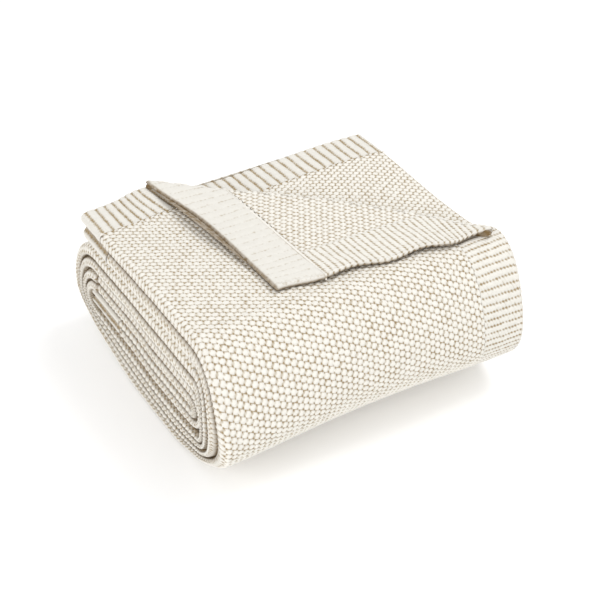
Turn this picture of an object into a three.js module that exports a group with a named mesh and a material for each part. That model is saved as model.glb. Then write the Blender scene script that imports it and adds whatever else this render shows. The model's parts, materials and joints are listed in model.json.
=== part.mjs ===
// Folded throw blanket. One knitted panel is folded lengthwise into four plies,
// the four-ply strip is wound into a flat roll of three turns, and its free end
// lies on top with one corner of the uppermost ply turned back.
// Millimetres, +Z up. The origin is the centre of the underside, +X runs along
// the roll and +Y points to the back, where the free end lies.
import * as THREE from 'three';

// The folded strip
const foldedWidth = 318;          // one quarter of the panel's cut width
const plyThickness = 5.9;         // one layer of the chunky knit
const plyGap = 0.3;               // between plies of one strip
const pliesInStrip = 4;

// The roll
const rollDepth = 326;            // front bulge to back bulge
const turnGap = 0.5;              // between turns of the roll
const frontReach = 57;            // how far the front bulge stands out past the flat top
const backReach = 62;             // how far the back bulge stands out past the flat underside
const coreEndSetback = 8;         // inner end of the strip, short of the back bend
const bendSteps = 14;             // facets in each half turn

// Knitted zones
const ribBorderLength = 45;       // 2 x 2 rib at each end of the panel
const sideBandWidth = 48;         // garter band along each selvedge
const linkSeamWidth = 1.6;        // row of linking stitches between rib and body
const zoneGap = 0.3;              // between neighbouring zones of one ply

// The free end on top
const freeEndInset = 39;          // from the back bulge to the free end of plies 1 and 2
const lowerPliesSetback = 12;     // plies 3 and 4 end this much shorter
const hingeGap = 0.3;             // between the front bulge and the top plies

// The turned-back corner
const cornerAlongEnd = 228;       // turned length along the rib end
const cornerSideInset = 2;        // from the front bulge to the crease's front end
const creaseClearance = 0.3;      // crease roll to the plies that it joins

const plyPitch = plyThickness + plyGap;
const stripThickness = pliesInStrip * plyPitch - plyGap;
const layerPitch = stripThickness + turnGap;
const layerCount = 6;             // three turns, and each crosses the section twice
const rollHeight = layerCount * layerPitch - turnGap;
const leftEdge = -foldedWidth / 2;
const rightEdge = foldedWidth / 2;
const bandEdge = rightEdge - sideBandWidth;
const frontFace = -rollDepth / 2;
const backFace = rollDepth / 2;
const hingeLine = frontFace + frontReach;
const backBendLine = backFace - backReach;
const freeEnd = backFace - freeEndInset;
const cornerAlongSide = freeEnd - hingeLine - cornerSideInset;
const creaseRadius = plyThickness;

const yarnColors = {
  body: 0xece5d6,
  rib: 0xe8dfcd,
  band: 0xe4dac6,
  inner: 0xd9cebb,
  seam: 0xcabca3,
};

function yarn(kind) {
  return new THREE.MeshStandardMaterial({
    color: yarnColors[kind],
    roughness: 0.95,
    metalness: 0,
  });
}

function shapeOf(points) {
  return new THREE.Shape(points.map(([a, b]) => new THREE.Vector2(a, b)));
}

function slab(points, thickness) {
  return new THREE.ExtrudeGeometry(shapeOf(points), {
    depth: thickness,
    bevelEnabled: false,
  });
}

// ---- the roll: sections in the YZ plane, swept along X ----

const lowOf = (layer) => layer * layerPitch;
const highOf = (layer) => lowOf(layer) + stripThickness;

// Points of a half turn from its top to its bottom. A negative reach bulges to the front.
function halfTurn(centreY, top, bottom, reach) {
  const points = [];
  const middle = (top + bottom) / 2;
  const halfHeight = (top - bottom) / 2;
  for (let i = 0; i <= bendSteps; i += 1) {
    const angle = (Math.PI * i) / bendSteps;
    points.push([
      centreY + reach * Math.sin(angle),
      middle + halfHeight * Math.cos(angle),
    ]);
  }
  return points;
}

// The front bend of a turn joins its top layer to its bottom layer. The core's bend is round.
function frontBend(turn, depth) {
  const top = highOf(layerCount - 1 - turn);
  const bottom = lowOf(turn);
  const roundReach = (top - bottom) / 2;
  const isCore = turn === layerCount / 2 - 1;
  const reach = isCore ? roundReach : frontReach - turn * layerPitch;
  const centre = frontFace + turn * layerPitch + reach;
  return halfTurn(centre, top - depth, bottom + depth, depth - reach);
}

// The back bend joins a turn's bottom layer to the next turn's top layer.
function backBend(turn, depth) {
  const top = highOf(layerCount - 2 - turn);
  const bottom = lowOf(turn);
  const reach = backReach - turn * layerPitch;
  return halfTurn(backBendLine, top - depth, bottom + depth, reach - depth).reverse();
}

// One face of a turn at a depth below the strip's outer face, from its start to its end.
function turnLine(turn, depth, startY, endY) {
  const bend = frontBend(turn, depth);
  const start = [startY, bend[0][1]];
  const underside = bend[bend.length - 1][1];
  const line = startY > bend[0][0] ? [start, ...bend] : bend;
  if (endY !== undefined) {
    return [...line, [endY, underside]];
  }
  return [...line, ...backBend(turn, depth)];
}

function turnSection(turn, outerDepth, innerDepth, startY, endY) {
  const outer = turnLine(turn, outerDepth, startY, endY);
  const inner = turnLine(turn, innerDepth, startY, endY);
  return [...outer, ...inner.reverse()];
}

const rollSections = new THREE.Group();
rollSections.quaternion.setFromRotationMatrix(
  new THREE.Matrix4().makeBasis(
    new THREE.Vector3(0, 1, 0),
    new THREE.Vector3(0, 0, 1),
    new THREE.Vector3(1, 0, 0),
  ),
);

function addSection(name, points, fromX, toX, kind) {
  const mesh = new THREE.Mesh(slab(points, toX - fromX), yarn(kind));
  mesh.name = name;
  mesh.position.z = fromX;
  rollSections.add(mesh);
}

function plyDepths(firstPly, lastPly) {
  const outer = (firstPly - 1) * plyPitch;
  const inner = (lastPly - 1) * plyPitch + plyThickness;
  return [outer, inner];
}

// The outer turn is made ply by ply, because its plies show at the ends and on the face.
function addOuterTurn() {
  for (let ply = 1; ply <= pliesInStrip; ply += 1) {
    const [outer, inner] = plyDepths(ply, ply);
    const section = turnSection(0, outer, inner, hingeLine);
    const hasSelvedge = ply === 1 || ply === pliesInStrip;
    const bodyEdge = hasSelvedge ? bandEdge - zoneGap : rightEdge;
    const kind = ply === 1 ? 'body' : 'inner';
    addSection(`outer_turn_ply_${ply}`, section, leftEdge, bodyEdge, kind);
    if (hasSelvedge) {
      addSection(`outer_turn_side_band_${ply}`, section, bandEdge, rightEdge, 'band');
    }
  }
}

// Inside, each turn is two pairs of plies, and each pair is joined by a lengthwise fold.
function addInnerTurns() {
  const start = backBendLine - zoneGap;
  const coreEnd = backBendLine - coreEndSetback;
  const ribStart = coreEnd - ribBorderLength;
  const seamStart = ribStart - zoneGap - linkSeamWidth;
  for (const [pair, first, last] of [['outer', 1, 2], ['inner', 3, 4]]) {
    const [outer, inner] = plyDepths(first, last);
    const second = turnSection(1, outer, inner, start);
    addSection(`second_turn_${pair}_plies`, second, leftEdge, rightEdge, 'inner');
    const core = turnSection(2, outer, inner, start, seamStart - zoneGap);
    addSection(`core_turn_${pair}_plies`, core, leftEdge, rightEdge, 'inner');
  }
  const layer = layerCount / 2 - 1;
  const across = (fromY, toY) => [
    [fromY, lowOf(layer)],
    [toY, lowOf(layer)],
    [toY, highOf(layer)],
    [fromY, highOf(layer)],
  ];
  const seam = across(seamStart, seamStart + linkSeamWidth);
  addSection('core_link_seam', seam, leftEdge, rightEdge, 'seam');
  addSection('core_rib_border', across(ribStart, coreEnd), leftEdge, rightEdge, 'rib');
}

// ---- the free end and its corner: outlines in the XY plane, raised by one ply ----

// Part of a convex outline on the side of a line that the normal points to.
function clip(points, [pointX, pointY], [normalX, normalY]) {
  const side = ([x, y]) => (x - pointX) * normalX + (y - pointY) * normalY;
  const kept = [];
  points.forEach((current, i) => {
    const next = points[(i + 1) % points.length];
    const here = side(current);
    const there = side(next);
    if (here >= 0) {
      kept.push(current);
    }
    if (here * there < 0) {
      const share = here / (here - there);
      kept.push([
        current[0] + share * (next[0] - current[0]),
        current[1] + share * (next[1] - current[1]),
      ]);
    }
  });
  return kept;
}

function rectangle(fromX, toX, fromY, toY) {
  return [[fromX, fromY], [toX, fromY], [toX, toY], [fromX, toY]];
}

// A ply's zones from the hinge line to its end: body, side band, link seam and rib border.
function plyZones(endY, hasSelvedge) {
  const start = hingeLine + hingeGap;
  const ribStart = endY - ribBorderLength;
  const seamStart = ribStart - zoneGap - linkSeamWidth;
  const bodyEnd = seamStart - zoneGap;
  const bodyEdge = hasSelvedge ? bandEdge - zoneGap : rightEdge;
  const zones = {
    body: rectangle(leftEdge, bodyEdge, start, bodyEnd),
    seam: rectangle(leftEdge, rightEdge, seamStart, seamStart + linkSeamWidth),
    rib: rectangle(leftEdge, rightEdge, ribStart, endY),
  };
  if (hasSelvedge) {
    zones.band = rectangle(bandEdge, rightEdge, start, bodyEnd);
  }
  return zones;
}

// The crease runs from the rib end to the selvedge, and its normal points to the corner.
const creaseStart = [rightEdge - cornerAlongEnd, freeEnd];
const creaseEnd = [rightEdge, freeEnd - cornerAlongSide];
const creaseLength = Math.hypot(cornerAlongEnd, cornerAlongSide);
const creaseNormal = [cornerAlongSide / creaseLength, cornerAlongEnd / creaseLength];
const creaseMargin = creaseRadius + creaseClearance;

function fromCrease(distance) {
  return [
    creaseStart[0] + distance * creaseNormal[0],
    creaseStart[1] + distance * creaseNormal[1],
  ];
}

function mirrorInCrease([x, y]) {
  const [normalX, normalY] = creaseNormal;
  const distance = (x - creaseStart[0]) * normalX + (y - creaseStart[1]) * normalY;
  return [x - 2 * distance * normalX, y - 2 * distance * normalY];
}

const zoneNames = { body: '', seam: '_link_seam', rib: '_rib_border', band: '_side_band' };

function addFlat(group, name, points, lowZ, kind) {
  const mesh = new THREE.Mesh(slab(points, plyThickness), yarn(kind));
  mesh.name = name;
  mesh.position.z = lowZ;
  group.add(mesh);
}

function addTopPlies(group) {
  const backward = creaseNormal.map((part) => -part);
  for (let ply = 1; ply <= pliesInStrip; ply += 1) {
    const endY = ply <= 2 ? freeEnd : freeEnd - lowerPliesSetback;
    const lowZ = rollHeight - plyThickness - (ply - 1) * plyPitch;
    const zones = plyZones(endY, ply === pliesInStrip);
    for (const [kind, outline] of Object.entries(zones)) {
      const points = ply === 1 ? clip(outline, fromCrease(-creaseMargin), backward) : outline;
      addFlat(group, `top_ply_${ply}${zoneNames[kind]}`, points, lowZ, kind);
    }
  }
}

function addCorner(group) {
  const lowZ = rollHeight + plyGap;
  const zones = plyZones(freeEnd, true);
  for (const [kind, outline] of Object.entries(zones)) {
    const turned = clip(outline, fromCrease(creaseMargin), creaseNormal);
    const points = turned.map(mirrorInCrease).reverse();
    addFlat(group, `corner_flap${zoneNames[kind]}`, points, lowZ, kind);
  }
}

// The crease itself is a soft roll, and the corner turns about its axis.
function addCrease(group) {
  const length = creaseLength - 2 * creaseMargin;
  const roll = new THREE.CylinderGeometry(creaseRadius, creaseRadius, length, 16);
  const mesh = new THREE.Mesh(roll, yarn('body'));
  mesh.name = 'crease_roll';
  mesh.rotation.z = Math.atan2(cornerAlongEnd, cornerAlongSide);
  mesh.position.set(
    (creaseStart[0] + creaseEnd[0]) / 2,
    (creaseStart[1] + creaseEnd[1]) / 2,
    rollHeight + plyGap / 2,
  );
  group.add(mesh);
}

addOuterTurn();
addInnerTurns();

const topLayer = new THREE.Group();
addTopPlies(topLayer);

const cornerFlap = new THREE.Group();
addCorner(cornerFlap);
addCrease(cornerFlap);

const throwBlanket = new THREE.Group();
throwBlanket.add(rollSections, topLayer, cornerFlap);

export default throwBlanket;
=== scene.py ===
import json
import math

import bmesh
import bpy
import numpy as np
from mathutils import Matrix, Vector


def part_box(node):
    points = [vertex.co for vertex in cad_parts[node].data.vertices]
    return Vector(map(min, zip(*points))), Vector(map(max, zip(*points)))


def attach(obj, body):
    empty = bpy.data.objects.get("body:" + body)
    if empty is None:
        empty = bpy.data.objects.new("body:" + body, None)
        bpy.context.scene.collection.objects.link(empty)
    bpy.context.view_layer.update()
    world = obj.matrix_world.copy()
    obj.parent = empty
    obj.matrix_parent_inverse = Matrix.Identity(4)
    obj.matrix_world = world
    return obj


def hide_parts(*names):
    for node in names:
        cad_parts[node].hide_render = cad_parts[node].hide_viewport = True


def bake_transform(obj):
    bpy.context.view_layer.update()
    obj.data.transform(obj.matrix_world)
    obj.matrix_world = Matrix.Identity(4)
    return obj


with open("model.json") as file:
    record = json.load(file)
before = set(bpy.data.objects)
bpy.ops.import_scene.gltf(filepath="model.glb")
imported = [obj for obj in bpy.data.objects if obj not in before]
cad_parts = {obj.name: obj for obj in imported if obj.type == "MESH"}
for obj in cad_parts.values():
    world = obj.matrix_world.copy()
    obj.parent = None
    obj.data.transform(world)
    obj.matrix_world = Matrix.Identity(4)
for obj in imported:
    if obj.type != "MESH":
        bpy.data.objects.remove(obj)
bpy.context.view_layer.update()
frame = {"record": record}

# The gauge of the knit, and how finely the relief is sampled. A stitch is one column wide and one row high.
gauge = {
    "stitchWidth": 0.0054,
    "rowHeight": 0.0032,
    "garterStitch": 0.0036,
    "ribRepeat": 0.0106,
    "ribStitch": 0.0034,
    "wander": 0.0016,
    "driftScale": 55.0,
    "unevenness": 0.0007,
    "unevenScale": 160.0,
    "fineStep": 0.0011,
    "foldStep": 0.00117,
    "coarseStep": 0.0016,
    "plainStep": 0.0034,
    "sideBand": 0.048,
    "ribBorder": 0.045,
    "seamWidth": 0.0019,
}

# How deep each knit's relief goes below its outermost yarn
reliefDepth = {"moss": 0.0016, "rib": 0.0018, "flatRib": 0.0009, "garter": 0.0015}
reliefDepth["panel"] = max(reliefDepth.values())

# The shapes of the stitches, as shares of a stitch and of the relief
mossStitch = {
    "lean": 0.8,
    "turnabout": 3.0,
    "slant": 0.6,
    "gapPower": 2.6,
    "gapDepth": 0.66,
    "columnPower": 1.8,
    "columnDepth": 0.36,
}
garterStitch = {"groovePower": 2.5, "grooveDepth": 0.50, "slant": 0.9, "beadDepth": 0.30}
ribStitch = {"groovePower": 3.2, "grooveDepth": 0.66, "legs": 4, "slant": 0.42, "beadDepth": 0.2}
flatRibShare = 0.5


class Wire:
    def __init__(self, tree, socket):
        self.tree = tree
        self.socket = socket

    def maths(self, operation, *others, first=None):
        made = self.tree.nodes.new("ShaderNodeMath")
        made.operation = operation
        values = (self, *others) if first is None else (first, self, *others)
        for slot, value in enumerate(values):
            if isinstance(value, Wire):
                self.tree.links.new(value.socket, made.inputs[slot])
            else:
                made.inputs[slot].default_value = value
        return Wire(self.tree, made.outputs[0])

    def __add__(self, other):
        return self.maths("ADD", other)

    def __radd__(self, other):
        return self.maths("ADD", other)

    def __sub__(self, other):
        return self.maths("SUBTRACT", other)

    def __rsub__(self, other):
        return self.maths("SUBTRACT", first=other)

    def __mul__(self, other):
        return self.maths("MULTIPLY", other)

    def __rmul__(self, other):
        return self.maths("MULTIPLY", other)

    def __truediv__(self, other):
        return self.maths("DIVIDE", other)

    def __pow__(self, other):
        return self.maths("POWER", other)

    def cos(self):
        return self.maths("COSINE")

    def sin(self):
        return self.maths("SINE")

    def size(self):
        return self.maths("ABSOLUTE")

    def part(self):
        return self.maths("FRACT")

    def below(self, edge):
        return self.maths("LESS_THAN", edge)

    def held(self):
        return self.maths("MAXIMUM", 0.0).maths("MINIMUM", 1.0)


def addNode(tree, kind, settings=None, sockets=None, output=0):
    made = tree.nodes.new(kind)
    for key, value in (settings or {}).items():
        setattr(made, key, value)
    for key, value in (sockets or {}).items():
        if isinstance(value, Wire):
            tree.links.new(value.socket, made.inputs[key])
        else:
            made.inputs[key].default_value = value
    return Wire(tree, made.outputs[output])


# Heights from 0, the deepest gap, to 1, the outermost yarn. u and v are metres across and along the panel.
def mossHeight(u, v):
    across = u * (math.pi / gauge["stitchWidth"])
    along = v * (math.pi / gauge["rowHeight"])
    lean = across - along.sin() * across.cos() * mossStitch["lean"]
    column = (lean * 2).cos() * 0.5 + 0.5
    turnabout = (lean.cos() * mossStitch["turnabout"]).maths("MAXIMUM", -1.0).maths("MINIMUM", 1.0)
    bead = (along + (lean * 2).sin() * mossStitch["slant"]).cos() * turnabout * 0.5 + 0.5
    gap = (1 - bead) ** mossStitch["gapPower"] * mossStitch["gapDepth"]
    return 1 - gap - (1 - column) ** mossStitch["columnPower"] * mossStitch["columnDepth"]


def garterHeight(u, v):
    across = u * (2 * math.pi / gauge["garterStitch"])
    along = v * (math.pi / gauge["rowHeight"])
    groove = (0.5 - along.cos() * 0.5) ** garterStitch["groovePower"]
    beads = (across + along * garterStitch["slant"]).cos() * 0.5 + 0.5
    return 1 - groove * garterStitch["grooveDepth"] - (1 - beads) * garterStitch["beadDepth"]


def ribHeight(u, v):
    groove = (0.5 - (u * (2 * math.pi / gauge["ribRepeat"])).cos() * 0.5) ** ribStitch["groovePower"]
    leg = ((u * (ribStitch["legs"] / gauge["ribRepeat"]) + 0.5).part() * 2 - 1).size()
    vee = ((v * (1 / gauge["ribStitch"]) + leg * ribStitch["slant"]) * (2 * math.pi)).cos() * 0.5 + 0.5
    return 1 - groove * ribStitch["grooveDepth"] - (1 - vee) * ribStitch["beadDepth"]


def flatRibHeight(u, v):
    return ribHeight(u, v) * flatRibShare + (1 - flatRibShare)


def panelHeight(u, v):
    inBand = u.below(gauge["sideBand"])
    inRib = v.below(gauge["ribBorder"])
    body = inBand * garterHeight(u, v) + (1 - inBand) * mossHeight(u, v)
    return inRib * ribHeight(u, v) + (1 - inRib) * body


heightOf = {
    "moss": mossHeight,
    "garter": garterHeight,
    "rib": ribHeight,
    "flatRib": flatRibHeight,
    "panel": panelHeight,
}


# Output and input numbers of nodes whose sockets share a name
numberOf = {"factor": 2, "objectPlace": 3, "occlusion": 1, "colour": 2, "mixFirst": 6, "mixSecond": 7}


def noise(tree, place, scale, detail):
    return addNode(tree, "ShaderNodeTexNoise", {}, {"Vector": place, "Scale": scale, "Detail": detail})


def wandering(tree, place, u, v):
    # hand-like unevenness: the lattice drifts a little from stitch to stitch
    drift = noise(tree, place, gauge["driftScale"], 1.0)
    return u + (drift - 0.5) * gauge["wander"], v + (0.5 - drift) * gauge["wander"]


def meshValue(tree, name):
    return addNode(tree, "ShaderNodeAttribute", {"attribute_name": name}, output=numberOf["factor"])


def objectPlace(tree):
    return addNode(tree, "ShaderNodeTexCoord", output=numberOf["objectPlace"])


def mixColours(tree, factor, first, second, blend="MIX"):
    sockets = {0: factor, numberOf["mixFirst"]: first, numberOf["mixSecond"]: second}
    return addNode(
        tree, "ShaderNodeMix", {"data_type": "RGBA", "blend_type": blend}, sockets, numberOf["colour"]
    )


def newTree(name):
    material = bpy.data.materials.new(name)
    material.use_nodes = True
    material.node_tree.nodes.clear()
    return material, material.node_tree


def endMaterial(tree, sockets):
    shader = addNode(tree, "ShaderNodeBsdfPrincipled", {}, sockets)
    output = tree.nodes.new("ShaderNodeOutputMaterial")
    tree.links.new(shader.socket, output.inputs["Surface"])


yarnFinish = {
    "light": (0.83, 0.803, 0.742),
    # painted shade in the stitch gaps, shown where the relief lies low; openAt, openSlope and openWander set
    # where it gives way to the cream
    "gap": (0.34, 0.245, 0.12, 1),
    # painted shade: the warm brown that hollows, folds, rims and hidden faces turn to
    "paintedShade": (0.19, 0.12, 0.045, 1),
    "openAt": 0.20,
    "openSlope": 2.1,
    "openWander": 1.6,
    "slubScale": 230.0,
    "slubTint": ((0.10, 0.95), (0.11, 0.945), (0.13, 0.935)),
    "fuzzScale": 1500.0,
    "shadeSamples": 6,
    "shadeReach": 0.006,
    "shadeFrom": 0.38,
    "shadeSlope": 1.3,
    "paintedShadeSlub": (1.6, 0.1),
    "roughness": 0.92,
    "specular": 0.25,
    "sheen": 0.2,
    "sheenRoughness": 0.6,
    "sheenTint": (1.0, 0.97, 0.9, 1),
    "bump": 0.6,
    "fuzz": 0.16,
}


def paintedShadeShare(tree, slub):
    # how far the colour turns to painted shade: where the mesh's painted-shade share says so, and where other
    # cloth is close, as ambient occlusion
    settings = {"samples": yarnFinish["shadeSamples"]}
    reach = {"Distance": yarnFinish["shadeReach"]}
    nearby = addNode(tree, "ShaderNodeAmbientOcclusion", settings, reach, numberOf["occlusion"])
    occlusionShade = ((1 - nearby - yarnFinish["shadeFrom"]) * yarnFinish["shadeSlope"]).held()
    gain, base = yarnFinish["paintedShadeSlub"]
    return ((meshValue(tree, "paintedShade") + occlusionShade) * (slub * gain + base)).held()


def makeYarn(name, kind, tone=1.0):
    material, tree = newTree(name)
    place = objectPlace(tree)
    height = heightOf[kind](*wandering(tree, place, meshValue(tree, "panelU"), meshValue(tree, "panelV")))
    slub = noise(tree, place, yarnFinish["slubScale"], 3.0)
    fuzz = noise(tree, place, yarnFinish["fuzzScale"], 2.0)
    # painted shade: the gap colour fills the low parts of the relief, wider or narrower along the yarn
    opening = (height - yarnFinish["openAt"]) * yarnFinish["openSlope"]
    shown = (opening + (slub - 0.5) * yarnFinish["openWander"]).held()
    light = tuple(channel * tone for channel in yarnFinish["light"]) + (1,)
    mixed = mixColours(tree, shown, yarnFinish["gap"], light)
    channels = {i: slub * gain + base for i, (gain, base) in enumerate(yarnFinish["slubTint"])}
    tint = addNode(tree, "ShaderNodeCombineColor", {}, channels)
    shade = mixColours(tree, 1.0, mixed, tint, "MULTIPLY")
    relief = height + fuzz * yarnFinish["fuzz"]
    bump = {"Strength": yarnFinish["bump"], "Distance": reliefDepth[kind], "Height": relief}
    endMaterial(
        tree,
        {
            "Base Color": mixColours(tree, paintedShadeShare(tree, slub), shade, yarnFinish["paintedShade"]),
            "Roughness": yarnFinish["roughness"],
            "Sheen Weight": yarnFinish["sheen"],
            "Sheen Roughness": yarnFinish["sheenRoughness"],
            "Sheen Tint": yarnFinish["sheenTint"],
            "Specular IOR Level": yarnFinish["specular"],
            "Normal": addNode(tree, "ShaderNodeBump", {}, bump),
        },
    )
    return material


yarns = {
    "moss": makeYarn("cream moss stitch", "moss"),
    "rib": makeYarn("cream rib", "rib", 0.92),
    "garter": makeYarn("cream garter band", "garter", 0.96),
    "flatRib": makeYarn("cream rib, pressed flat", "flatRib", 0.89),
    "panel": makeYarn("cream knit at the crease", "panel"),
}


seamFinish = {
    "dark": (0.74, 0.70, 0.62, 1),
    "light": (0.88, 0.86, 0.82, 1),
    "slubScale": 700.0,
    "roughness": 0.93,
    "bump": 0.4,
    "bumpDepth": 0.0004,
}


def makeSeamYarn():
    material, tree = newTree("cream linking yarn")
    slub = noise(tree, objectPlace(tree), seamFinish["slubScale"], 3.0)
    yarn = mixColours(tree, slub, seamFinish["dark"], seamFinish["light"])
    bump = {"Strength": seamFinish["bump"], "Distance": seamFinish["bumpDepth"], "Height": slub}
    # the stitches have no "shown" value, so only the channel under them takes the gap colour, painted shade
    # in the recess
    endMaterial(
        tree,
        {
            "Base Color": mixColours(tree, meshValue(tree, "shown").held(), yarn, yarnFinish["gap"]),
            "Roughness": seamFinish["roughness"],
            "Sheen Weight": yarnFinish["sheen"],
            "Specular IOR Level": yarnFinish["specular"],
            "Normal": addNode(tree, "ShaderNodeBump", {}, bump),
        },
    )
    return material


yarns["seam"] = makeSeamYarn()


def newGroup(name, inputs):
    tree = bpy.data.node_groups.new(name, "GeometryNodeTree")
    tree.interface.new_socket("Geometry", in_out="INPUT", socket_type="NodeSocketGeometry")
    for label, kind in inputs:
        tree.interface.new_socket(label, in_out="INPUT", socket_type=kind)
    tree.interface.new_socket("Geometry", in_out="OUTPUT", socket_type="NodeSocketGeometry")
    return tree, tree.nodes.new("NodeGroupInput"), tree.nodes.new("NodeGroupOutput")


def named(tree, name, kind="FLOAT"):
    return addNode(tree, "GeometryNodeInputNamedAttribute", {"data_type": kind}, {"Name": name})


def endTree(tree, shape, given, out):
    whole = addNode(tree, "GeometryNodeRealizeInstances", {}, {0: shape})
    yarn = Wire(tree, given.outputs["Yarn"])
    dressed = addNode(tree, "GeometryNodeSetMaterial", {}, {"Geometry": whole, "Material": yarn})
    tree.links.new(dressed.socket, out.inputs[0])


def reliefTree(kind):
    tree, given, out = newGroup(
        f"{kind} relief",
        [("Depth", "NodeSocketFloat"), ("Unevenness", "NodeSocketFloat"), ("Yarn", "NodeSocketMaterial")],
    )
    u, v = named(tree, "panelU"), named(tree, "panelV")
    shown, outward = named(tree, "shown"), named(tree, "outward", "FLOAT_VECTOR")
    place = addNode(tree, "GeometryNodeInputPosition")
    slub = noise(tree, place, gauge["unevenScale"], 1.0)
    depth = Wire(tree, given.outputs["Depth"])
    uneven = Wire(tree, given.outputs["Unevenness"])
    sink = (heightOf[kind](*wandering(tree, place, u, v)) - 1) * depth + (slub - 0.5) * uneven
    scaled = {0: outward, "Scale": sink * shown}
    push = addNode(tree, "ShaderNodeVectorMath", {"operation": "SCALE"}, scaled)
    pushed = {"Geometry": Wire(tree, given.outputs[0]), "Offset": push}
    moved = addNode(tree, "GeometryNodeSetPosition", {}, pushed)
    endTree(tree, moved, given, out)
    return tree


# One linking stitch is a bead of yarn. Its pitch, length and thickness are metres, and its tilt radians.
linkStitch = {
    "pitch": 0.007,
    "length": 0.0047,
    "thickness": 0.0018,
    "tilt": 0.12,
    "segments": 8,
    "rings": 6,
    "height": 0.72,
}


def stitchTree():
    inputs = [
        ("Stitch length", "NodeSocketFloat"),
        ("Yarn thickness", "NodeSocketFloat"),
        ("Yarn", "NodeSocketMaterial"),
    ]
    tree, given, out = newGroup("linking stitches", inputs)
    length = Wire(tree, given.outputs["Stitch length"])
    thick = Wire(tree, given.outputs["Yarn thickness"])
    ball = {"Segments": linkStitch["segments"], "Rings": linkStitch["rings"], "Radius": 0.5}
    bead = addNode(tree, "GeometryNodeMeshUVSphere", {}, ball)
    sizes = addNode(tree, "ShaderNodeCombineXYZ", {}, {0: length, 1: thick, 2: thick})
    stretched = {"Geometry": bead, "Scale": sizes, "Rotation": (0.0, 0.0, linkStitch["tilt"])}
    loop = addNode(tree, "GeometryNodeTransform", {}, stretched)
    turn = addNode(
        tree,
        "FunctionNodeAxesToRotation",
        {"primary_axis": "Z", "secondary_axis": "X"},
        {0: named(tree, "outward", "FLOAT_VECTOR"), 1: named(tree, "along", "FLOAT_VECTOR")},
    )
    placed = {"Points": Wire(tree, given.outputs[0]), "Instance": loop, "Rotation": turn}
    row = addNode(tree, "GeometryNodeInstanceOnPoints", {}, placed)
    endTree(tree, row, given, out)
    return tree


reliefTrees = {kind: reliefTree(kind) for kind in heightOf}
stitches = stitchTree()
print("node trees made")


def applyTree(piece, tree, values):
    modifier = piece.modifiers.new(tree.name, "NODES")
    modifier.node_group = tree
    for item in tree.interface.items_tree:
        if item.in_out == "INPUT" and item.name in values:
            modifier[item.identifier] = values[item.name]
    bpy.context.view_layer.update()
    evaluated = piece.evaluated_get(bpy.context.evaluated_depsgraph_get())
    made = bpy.data.meshes.new_from_object(evaluated)
    made.name = piece.name
    piece.modifiers.remove(modifier)
    piece.data = made
    return piece


# Where the strip runs: the same roll as the CAD's, read from its boxes
def span(node, axis):
    low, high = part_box(node)
    return low[axis], high[axis]


leftEdge, rightEdge = span("top_ply_2_rib_border", 0)
plyThickness = span("top_ply_1", 2)[1] - span("top_ply_1", 2)[0]
plyPitch = span("top_ply_1", 2)[0] - span("top_ply_2", 2)[0]
stripThickness = span("top_ply_1", 2)[1] - span("top_ply_4", 2)[0]
rollTop = span("top_ply_1", 2)[1]
layerPitch = span("core_rib_border", 2)[0] / 2
frontFace, backFace = span("outer_turn_ply_1", 1)
jointGap = 0.0003
hingeLine = span("top_ply_4", 1)[0] - jointGap
frontReach = hingeLine - frontFace
backReach = (5 * layerPitch - (layerPitch - stripThickness)) / 2
backBendLine = backFace - backReach
freeEnd = span("top_ply_1_rib_border", 1)[1]
lowerEnd = span("top_ply_4_rib_border", 1)[1]
coreEnd = span("core_rib_border", 1)[1]
halfPly = plyThickness / 2
coreReachBack = backBendLine + backReach - 2 * layerPitch - coreEnd
foldRadius = plyPitch / 2
joints = {joint["name"]: joint for joint in frame["record"]["behaviour"]["joints"]}
creasePoint = np.array(joints["corner_turn"]["pos_m"])
creaseAxis = np.array(joints["corner_turn"]["axis"])


def layerTop(layer):
    return layer * layerPitch + stripThickness


def layerBottom(layer):
    return layer * layerPitch


def stripTable(step=0.0008, bendSteps=260):
    # the outer face of the strip from its free end to its core end: its length so far, y and z, and inward
    outer, inward, marks = [], [], {}

    def straight(fromY, toY, z, down):
        for y in np.linspace(fromY, toY, max(2, int(abs(toY - fromY) / step))):
            outer.append((y, z))
            inward.append((0.0, -1.0 if down else 1.0))

    def bend(centreY, top, bottom, reach):
        # a negative reach bulges to the front and runs from its top to its bottom
        angles = np.linspace(0, math.pi, bendSteps)
        if reach > 0:
            angles = angles[::-1]
        half = (top - bottom) / 2
        for angle in angles:
            outer.append((centreY + reach * math.sin(angle), bottom + half + half * math.cos(angle)))
            inward.append((-math.copysign(math.sin(angle), reach), -math.cos(angle)))

    def mark(name):
        marks[name] = len(outer)

    straight(freeEnd, hingeLine, layerTop(5), True)
    mark("hinge")
    bend(hingeLine, layerTop(5), layerBottom(0), -frontReach)
    mark("underside")
    straight(hingeLine, backBendLine, layerBottom(0), False)
    mark("backBend")
    bend(backBendLine, layerTop(4), layerBottom(0), backReach)
    mark("second")
    secondFront = frontFace + frontReach
    straight(backBendLine, secondFront, layerTop(4), True)
    mark("secondFront")
    bend(secondFront, layerTop(4), layerBottom(1), layerPitch - frontReach)
    straight(secondFront, backBendLine, layerBottom(1), False)
    bend(backBendLine, layerTop(3), layerBottom(1), backReach - layerPitch)
    mark("core")
    coreReach = (layerTop(3) - layerBottom(2)) / 2
    coreFront = frontFace + 2 * layerPitch + coreReach
    straight(backBendLine, coreFront, layerTop(3), True)
    bend(coreFront, layerTop(3), layerBottom(2), -coreReach)
    straight(coreFront, coreEnd, layerBottom(2), False)
    outer, inward = np.array(outer), np.array(inward)
    length = np.concatenate([[0], np.cumsum(np.linalg.norm(np.diff(outer, axis=0), axis=1))])
    return length, outer, inward, {k: length[min(i, len(length) - 1)] for k, i in marks.items()}


stripLength, stripOuter, stripInward, stripMarks = stripTable()
stripEnd = float(stripLength[-1])
print(f"strip {stripEnd:.3f} m long")


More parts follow.
